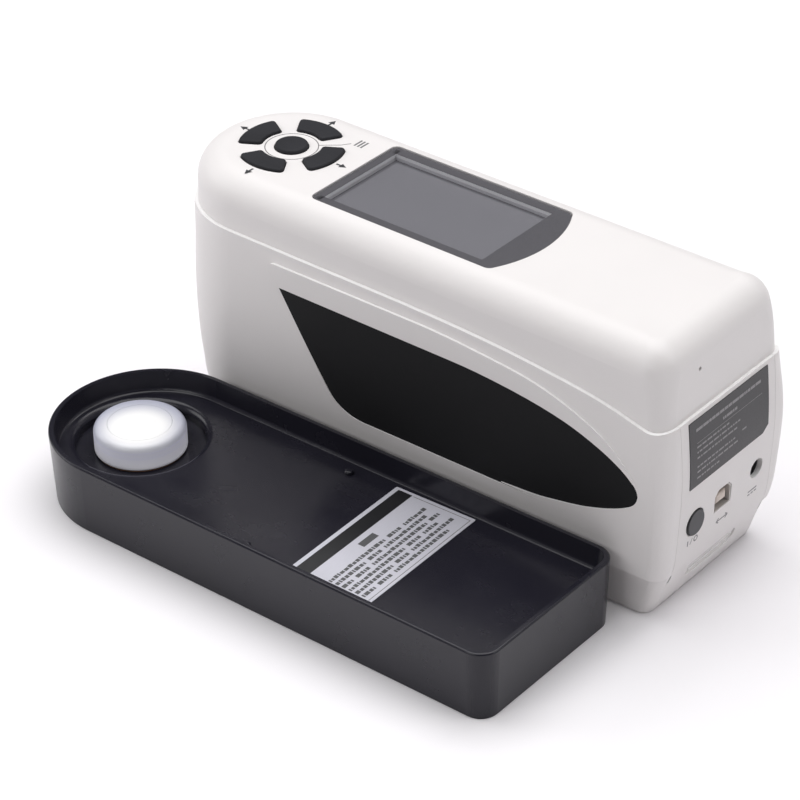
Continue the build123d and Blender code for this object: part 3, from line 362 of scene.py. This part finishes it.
def tile_opal():
    """Translucent opal body of the white standard: a painted highlight on top
    that greys to painted shade at the shoulder, lighter down its side, warm
    where it meets the pad, and a faint painted glow."""
    t = Tree("tile_opal")
    x, y, z = t.xyz()
    cloud = t.noise(120, 3, 0.6)
    # top face: painted highlight in the middle, painted shade toward the rim
    top = t.mix(t.ranged(from_tile_highlight(t, x, y), 0, 1, *TILE_HIGHLIGHT_FADE, smooth=True),
                TILE_HIGHLIGHT_MID, TILE_SHADED_RIM)
    side = t.mix(t.ranged(z, 0, 1, 0.0150, 0.0182, smooth=True),
                 (0.97, 0.965, 0.98), (0.80, 0.805, 0.93))
    side = t.mix(t.ranged(z, 0, 1, 0.0126, 0.0140, smooth=True),
                 (0.80, 0.74, 0.68), side)
    colour = t.mix(t.ranged(z, 0, 1, 0.0190, 0.0212, smooth=True), side, top)
    # painted glow: a faint emission on the side band stands in for the light
    # that falls through the body
    painted_glow = t.math("MULTIPLY", t.ranged(z, 0, 1, 0.0130, 0.0150, smooth=True),
                  t.ranged(z, 1, 0, 0.0196, 0.0216, smooth=True))
    p = t.principled(Base_Color=colour, Roughness=t.ranged(cloud, 0.30, 0.38),
                     Emission_Color=t.mix(painted_glow, (0, 0, 0), (0.15, 0.148, 0.172)),
                     Emission_Strength=1.0)
    return t.finish(p.outputs[0])


def tile_white():
    """Fired white reference face, with a painted highlight in the middle that
    fades to painted shade at the rim.
    """
    t = Tree("tile_white")
    x, y, z = t.xyz()
    fine = t.noise(900, 2, 0.5)
    colour = t.mix(t.ranged(from_tile_highlight(t, x, y), 0, 1, *TILE_HIGHLIGHT_FADE, smooth=True),
                   TILE_HIGHLIGHT_MID, TILE_SHADED_RIM)
    p = t.principled(Base_Color=colour, Roughness=t.ranged(fine, 0.30, 0.36))
    return t.finish(p.outputs[0])


pad_tan = plastic("pad_tan", (0.30, 0.16, 0.09), 0.75, grain=1800,
                  grain_s=0.4, tone=0.12, patch=200)
lens_glass = plastic("lens_glass", (0.8, 0.86, 0.88), 0.06, tone=0.01,
                     Transmission_Weight=0.9)

MATERIALS = {
    "shell_white": shell_white, "panel_white": panel_white,
    "base_grey": base_grey, "key_rubber": key_rubber,
    "tray_black": tray_black, "switch_black": switch_black,
    "nickel_shell": nickel_shell,
    "cradle_black": cradle_black, "frame_dark": frame_dark,
    "gasket_grey": gasket_grey, "ring_black": ring_black,
    "chip_black": chip_black, "tongue_cream": tongue_cream,
    "sphere_white": sphere_white, "cell_sleeve": cell_sleeve,
    "lamp_clear": lamp_clear, "board_green": board_green,
    "contact_metal": contact_metal, "screw_steel": screw_steel,
    "dome_steel": dome_steel, "brass_pin": brass_pin,
    "tube_black": tube_black, "grip_rubber": grip_rubber(),
    "lens_clear": lens_clear(), "display_dark": display_dark(),
    "plate_dark": plate_dark(), "label_silver": label_silver(),
    "tile_opal": tile_opal(), "tile_white": tile_white(),
    "pad_tan": pad_tan, "lens_glass": lens_glass,
}
slot_of = {s["node"]: s["material_slot"]
           for s in frame["record"].get("subparts", [])}
BY_NODE = {"switch_button": button_grey()}
for name, obj in nodes.items():
    look = BY_NODE.get(name) or MATERIALS.get(slot_of.get(name), shell_white)
    if not obj.material_slots:
        obj.data.materials.append(look)
    for s in obj.material_slots:
        s.material = look


# ---------------------------------------------------------------------------
# printed marks: thin closed films laid on the surface that carries them
# ---------------------------------------------------------------------------
def surface(*names):
    verts, polys = [], []
    for n in names:
        me = nodes[n].data
        base = len(verts)
        verts += [v.co.copy() for v in me.vertices]
        polys += [[base + i for i in p.vertices] for p in me.polygons]
    return BVHTree.FromPolygons(verts, polys)


class Film:
    """Flat shapes in two plane coordinates (mm), dropped on a surface along a
    direction and given a small thickness."""

    def __init__(self, name, lay, lift=0.035, sink=0.02):
        self.name, self.lay, self.lift, self.sink = name, lay, lift, sink
        self.v, self.f = [], []

    def grid(self, rows):
        """rows of equally many 2-D points, made into one thin closed slab."""
        n, m = len(rows), len(rows[0])
        tops, bottoms = [], []
        for row in rows:
            for p in row:
                c, d = self.lay(*p)
                tops.append(c + d * self.lift * MM)
                bottoms.append(c - d * self.sink * MM)
        a = len(self.v)
        self.v += tops + bottoms
        b = a + len(tops)

        def at(i, j):
            return i * m + j

        for i in range(n - 1):
            for j in range(m - 1):
                q = [at(i, j), at(i, j + 1), at(i + 1, j + 1), at(i + 1, j)]
                self.f.append([a + k for k in q])
                self.f.append([b + k for k in reversed(q)])
        rim = ([at(0, j) for j in range(m)]
               + [at(i, m - 1) for i in range(1, n)]
               + [at(n - 1, j) for j in range(m - 2, -1, -1)]
               + [at(i, 0) for i in range(n - 2, 0, -1)])
        for k in range(len(rim)):
            p, q = rim[k], rim[(k + 1) % len(rim)]
            self.f.append([a + q, a + p, b + p, b + q])

    def rect(self, u0, v0, u1, v1, step=1.5, turn=0.0, about=(0, 0)):
        nu = max(1, math.ceil(abs(u1 - u0) / step))
        nv = max(1, math.ceil(abs(v1 - v0) / step))
        c, s = math.cos(math.radians(turn)), math.sin(math.radians(turn))
        rows = []
        for i in range(nu + 1):
            row = []
            for j in range(nv + 1):
                u = u0 + (u1 - u0) * i / nu
                v = v0 + (v1 - v0) * j / nv
                row.append((about[0] + u * c - v * s, about[1] + u * s + v * c))
            rows.append(row)
        self.grid(rows)

    def path(self, pts, width, step=0.8):
        """A stroke of even width along a polyline; width may be a pair."""
        w0, w1 = width if isinstance(width, (tuple, list)) else (width, width)
        dense = [pts[0]]
        for p, q in zip(pts, pts[1:]):
            n = max(1, math.ceil(math.dist(p, q) / step))
            dense += [(p[0] + (q[0] - p[0]) * k / n,
                       p[1] + (q[1] - p[1]) * k / n) for k in range(1, n + 1)]
        rows = []
        for i, p in enumerate(dense):
            a = dense[max(i - 1, 0)]
            b = dense[min(i + 1, len(dense) - 1)]
            d = math.dist(a, b) or 1
            nx, ny = -(b[1] - a[1]) / d, (b[0] - a[0]) / d
            w = (w0 + (w1 - w0) * i / (len(dense) - 1)) / 2
            rows.append([(p[0] + nx * w, p[1] + ny * w),
                         (p[0] - nx * w, p[1] - ny * w)])
        self.grid(rows)

    def arc(self, cu, cv, r, a0, a1, width, step=3.0):
        n = max(4, math.ceil(abs(a1 - a0) / step))
        rows = []
        for i in range(n + 1):
            t = math.radians(a0 + (a1 - a0) * i / n)
            rows.append([(cu + (r - width / 2) * math.cos(t),
                          cv + (r - width / 2) * math.sin(t)),
                         (cu + (r + width / 2) * math.cos(t),
                          cv + (r + width / 2) * math.sin(t))])
        self.grid(rows)

    def build(self, material, body):
        me = bpy.data.meshes.new(self.name)
        me.from_pydata([tuple(p) for p in self.v], [], self.f)
        me.validate()
        me.update()
        import bmesh
        bm = bmesh.new()
        bm.from_mesh(me)
        bmesh.ops.recalc_face_normals(bm, faces=bm.faces)
        bm.to_mesh(me)
        bm.free()
        ob = bpy.data.objects.new(self.name, me)
        bpy.context.scene.collection.objects.link(ob)
        me.materials.append(material)
        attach(ob, body)
        return ob


def on_top(depth=0.0):
    """Lay on the sloping top plane, depth below its surface."""
    t = math.atan(TOP_TAN)
    n = Vector((math.sin(t), 0, math.cos(t)))

    def lay(x, y):
        z = TOP_Z - (x - TOP_X) * TOP_TAN
        return Vector((x, y, z)) * MM - n * depth * MM, n
    return lay


def on_end(*names):
    """Lay on the connector end: u is Y and v is Z."""
    tree = surface(*names)
    inward = Vector((-1, 0, 0))

    def lay(y, z):
        hit, normal, _, _ = tree.ray_cast(Vector((0.2, y * MM, z * MM)), inward)
        if hit is None:
            hit = Vector((0.1035, y * MM, z * MM))
        return hit, Vector((1, 0, 0))
    return lay


def on_level(z):
    def lay(x, y):
        return Vector((x * MM, y * MM, z * MM)), Vector((0, 0, 1))
    return lay


ink_grey = ink("ink_grey", (0.16, 0.16, 0.165))
ink_dark = ink("ink_dark", (0.045, 0.045, 0.05))
ink_pale = ink("ink_pale", (0.27, 0.26, 0.27))
ink_black = ink("ink_black", (0.012, 0.012, 0.014), 0.35)
ink_label = ink("ink_label", (0.085, 0.085, 0.09))
ink_window = ink("ink_window", (0.096, 0.093, 0.103), 0.5)
ink_soft = ink("ink_soft", (0.20, 0.19, 0.195))

# --- keypad: ring, leader to a plain list sign, arrows outside the keys -----
ring = Film("keypad_ring_print", on_top(), 0.02)
ring.arc(KEY_X, 0, 8.7, 0, 360, 0.34)
ring.path([(KEY_X + 8.75 * math.cos(math.radians(43.5)),
            8.75 * math.sin(math.radians(43.5))),
           (-55.9, 10.6), (-53.9, 13.4)], 0.34)
ring.build(ink_soft, "instrument")

sign = Film("list_sign_print", on_top(), 0.02)
for i in range(3):
    sign.rect(-52.7 + i * 1.3, 13.0, -52.05 + i * 1.3, 17.2)
sign.build(ink_grey, "instrument")

arrows = Film("key_arrows_print", on_top(), 0.02)
for angle, r0, r1 in ((180, 18.3, 22.0), (90, 18.3, 22.2), (0, 18.8, 22.8),
                      (-90, 18.9, 23.0)):
    a = math.radians(angle)
    u, w = (math.cos(a), math.sin(a)), (-math.sin(a), math.cos(a))

    def at(r, s):
        return (KEY_X + r * u[0] + s * w[0], r * u[1] + s * w[1])
    arrows.path([at(r0, 0), at(r1 - 1.6, 0)], 0.75)
    arrows.path([at(r1 - 2.3, 0), at(r1, 0)], (2.6, 0.06), 0.4)
arrows.build(ink_dark, "instrument")

# --- display window: dark print inside the glass around the view area ---------
print_under = Film("window_border_print", on_top(LENS["sink"] + 0.45),
                   0.01, 0.01)
w0, w1, ww = WINDOW["x0"], WINDOW["x1"], WINDOW["w"]
lx0, lx1, lw = LENS["x0"] + 0.15, LENS["x1"], LENS["w"] - 0.15
print_under.rect(lx0 + 1.0, ww, w1, lw)
print_under.rect(lx0 + 1.0, -lw, w1, -ww)
print_under.rect(lx0, -lw + 1.3, w0, lw - 1.3)
# bulged end: rows from the window edge to the curved rear edge
half_chord, sag = LENS["w"], LENS["bulge"] - LENS["x1"]
arc_r = (half_chord ** 2 + sag ** 2) / (2 * sag)


def rear_edge(y, inset=0.15):
    return (LENS["bulge"] - arc_r
            + math.sqrt(max((arc_r - inset) ** 2 - y * y, 0)))


rows = []
for i in range(49):
    y = -lw + 2 * lw * i / 48
    end = rear_edge(y)
    over = max(abs(y) - (lw - 1.4), 0) / 1.4
    end -= 1.3 * over ** 2.2
    rows.append([(w1 + (end - w1) * k / 6, y) for k in range(7)])
print_under.grid(rows)
print_under.build(ink_window, "instrument")

# pale inner wall of the border, from the print down to the foot of the glass
inner_wall = Film("window_inner_wall", None, 0.02, 0.02)
for (xa, ya), (xb, yb), inward in (
        ((w0, ww), (w1, ww), (0, -1, 0)), ((w0, -ww), (w1, -ww), (0, 1, 0)),
        ((w0, -ww), (w0, ww), (1, 0, 0)), ((w1, -ww), (w1, ww), (-1, 0, 0))):

    def along(s, h, a=(xa, ya), b=(xb, yb), d=Vector(inward)):
        x, y = a[0] + (b[0] - a[0]) * s, a[1] + (b[1] - a[1]) * s
        return on_top(h)(x, y)[0] + d * 0.05 * MM, d
    inner_wall.lay = along
    inner_wall.grid([[(i / 12, LENS["sink"] + 0.5),
                      (i / 12, LENS["sink"] + LENS["t"] - 0.03)]
                     for i in range(13)])
inner_wall.build(wall_pale, "instrument")

# --- nameplate: ruled dashes in place of its text ------------------------------
plate = Film("nameplate_rules_print", on_end("nameplate"), 0.03)
plate_seed = 5


def dashes(y0, y1, z, height, longest=2.6, gap=0.45):
    """A row of uneven dashes, as a page of print looks from far away."""
    global plate_seed
    y = y0
    while y < y1 - 0.3:
        plate_seed = (plate_seed * 61 + 29) % 197
        run = min(0.7 + plate_seed % 6 * (longest - 0.7) / 5, y1 - y)
        plate.rect(y, z - height / 2, y + run, z + height / 2)
        y += run + gap


dashes(-17.8, 17.2, 64.9, 0.95, 3.4, 0.3)
dashes(-3.7, 3.9, 62.1, 0.9, 3.6, 0.3)
plate.rect(-17.6, 60.36, 17.4, 60.5)
for z, y1 in ((59.0, -0.6), (57.2, 5.3), (55.3, 3.6), (52.2, 3.3), (50.4, 4.0),
              (48.3, -5.9)):
    dashes(-17.6, y1, z, 0.55)
plate.rect(6.5, 52.7, 8.7, 53.2)
plate.build(ink_pale, "instrument")

# --- plain signs under the connectors ------------------------------------------
signs = Film("port_signs_print", on_end("rear_panel"), 0.03)
signs.path([(-19.2, 23.6), (-19.2, 25.6)], 0.5, 0.4)           # on
signs.path([(-17.8, 23.6), (-16.8, 25.6)], 0.3, 0.4)
signs.arc(-14.9, 24.5, 0.9, 0, 360, 0.5, 20)                   # off
signs.path([(-3.6, 23.9), (2.4, 23.9)], 0.45)                  # two-way data
signs.path([(-3.7, 23.9), (-2.4, 24.8)], 0.45, 0.4)
signs.path([(-3.7, 23.9), (-2.4, 23.0)], 0.45, 0.4)
signs.path([(2.5, 23.9), (1.2, 24.8)], 0.45, 0.4)
signs.path([(2.5, 23.9), (1.2, 23.0)], 0.45, 0.4)
signs.path([(13.6, 25.5), (18.4, 25.5)], 0.5)                  # direct current
for k in range(3):
    signs.path([(13.6 + k * 1.8, 24.3), (14.8 + k * 1.8, 24.3)], 0.5, 0.4)
signs.build(ink_pale, "instrument")

# --- tray label: black bar and ruled rows --------------------------------------
LABEL = (22.8, TRAY_Y + 1.85)
LABEL_W, LABEL_L, LABEL_TURN = 30.9, 53.3, 1.4
bar = Film("label_bar_print", on_level(TRAY_FLOOR + 0.15), 0.012, 0.01)
bar.rect(-LABEL_W / 2 + 1.55, -LABEL_L / 2, -LABEL_W / 2 + 7.0,
         LABEL_L / 2 - 1.1, turn=LABEL_TURN, about=LABEL)
bar.build(ink_black, "tray")

rows_film = Film("label_rows_print", on_level(TRAY_FLOOR + 0.15), 0.012, 0.01)
seed = 7
for i in range(6):
    u = -LABEL_W / 2 + 14.4 + i * 2.55
    v = -LABEL_L / 2 + 1.2
    end = LABEL_L / 2 - (3.4 if i % 2 == 0 else 6.8)
    while v < end:
        seed = (seed * 73 + 41) % 211
        run = 0.7 + seed % 5 * 0.33
        if v + run > end:
            break
        high = 0.45 + seed % 3 * 0.14
        rows_film.rect(u - high, v, u + 0.72, v + run, turn=LABEL_TURN,
                       about=LABEL)
        v += run + (0.34 if seed % 7 else 1.9)
rows_film.rect(-LABEL_W / 2 + 9.2, -5.2, -LABEL_W / 2 + 11.8, 2.2,
               turn=LABEL_TURN, about=LABEL)
rows_film.build(ink_label, "tray")

edge = Film("label_frame_print", on_level(TRAY_FLOOR + 0.15), 0.012, 0.01)
edge.rect(LABEL_W / 2 - 1.3, -LABEL_L / 2 + 0.6, LABEL_W / 2 - 1.05,
          LABEL_L / 2 - 1.3, turn=LABEL_TURN, about=LABEL)
edge.rect(-LABEL_W / 2 + 7.6, LABEL_L / 2 - 1.55, LABEL_W / 2 - 1.05,
          LABEL_L / 2 - 1.3, turn=LABEL_TURN, about=LABEL)
edge.build(ink_grey, "tray")

# ---------------------------------------------------------------------------
# floor, light and camera
# ---------------------------------------------------------------------------
t = Tree("floor_white")
slow = t.noise(1.5, 2, 0.5)
p = t.principled(Base_Color=t.mix(t.ranged(slow, 0, 1), (0.935, 0.915, 0.940),
                                  (0.945, 0.925, 0.950)),
                 Roughness=t.ranged(slow, 0.7, 0.75))
p.inputs["Specular IOR Level"].default_value = 0.2
floor_mat = t.finish(p.outputs[0])
me = bpy.data.meshes.new("floor")
S = 9.0
me.from_pydata([(-S, -S, -0.0002), (S, -S, -0.0002), (S, S, -0.0002),
                (-S, S, -0.0002)], [], [(0, 1, 2, 3)])
me.materials.append(floor_mat)
floor = bpy.data.objects.new("floor", me)
bpy.context.scene.collection.objects.link(floor)

scene = bpy.context.scene
world = bpy.data.worlds.new("studio")
scene.world = world
world.use_nodes = True
bg = world.node_tree.nodes["Background"]
bg.inputs["Color"].default_value = (1.0, 0.985, 0.99, 1)
bg.inputs["Strength"].default_value = 0.03


def softbox(name, loc, target, sx, sy, power, colour=(1, 1, 1)):
    light = bpy.data.lights.new(name, "AREA")
    light.shape = "RECTANGLE"
    light.size, light.size_y = sx, sy
    light.energy = power
    light.color = colour
    ob = bpy.data.objects.new(name, light)
    ob.location = loc
    d = Vector(target) - Vector(loc)
    ob.rotation_euler = d.to_track_quat("-Z", "Y").to_euler()
    scene.collection.objects.link(ob)
    return ob


softbox("overhead", (-0.15, 0.25, 1.50), (0, 0, 0), 1.8, 1.8, 29)
softbox("front", (-0.20, -1.60, 1.10), (0, 0, 0.05), 1.2, 0.8, 7.4)
softbox("left", (-1.40, -0.50, 0.70), (0, 0, 0.05), 1.0, 0.8, 6.6)
softbox("right", (1.25, 0.55, 0.92), (0, 0, 0.05), 1.0, 1.0, 5.6)

scene.view_settings.view_transform = "Standard"
scene.view_settings.look = "None"

cam = bpy.data.cameras.new("camera")
cam.sensor_width = 36.0
cam.lens = 133.24
cam.clip_start, cam.clip_end = 0.05, 50
eye = bpy.data.objects.new("camera", cam)
right = Vector((0.77885314, 0.62701783, -0.01537628))
down = Vector((0.32989291, -0.43038224, -0.84020343))
ahead = Vector((-0.53344021, 0.64932255, -0.54205329))
rot = Matrix((right, -down, -ahead)).transposed().to_4x4()
eye.matrix_world = Matrix.Translation((0.49710, -0.63485, 0.54663)) @ rot
scene.collection.objects.link(eye)
scene.camera = eye
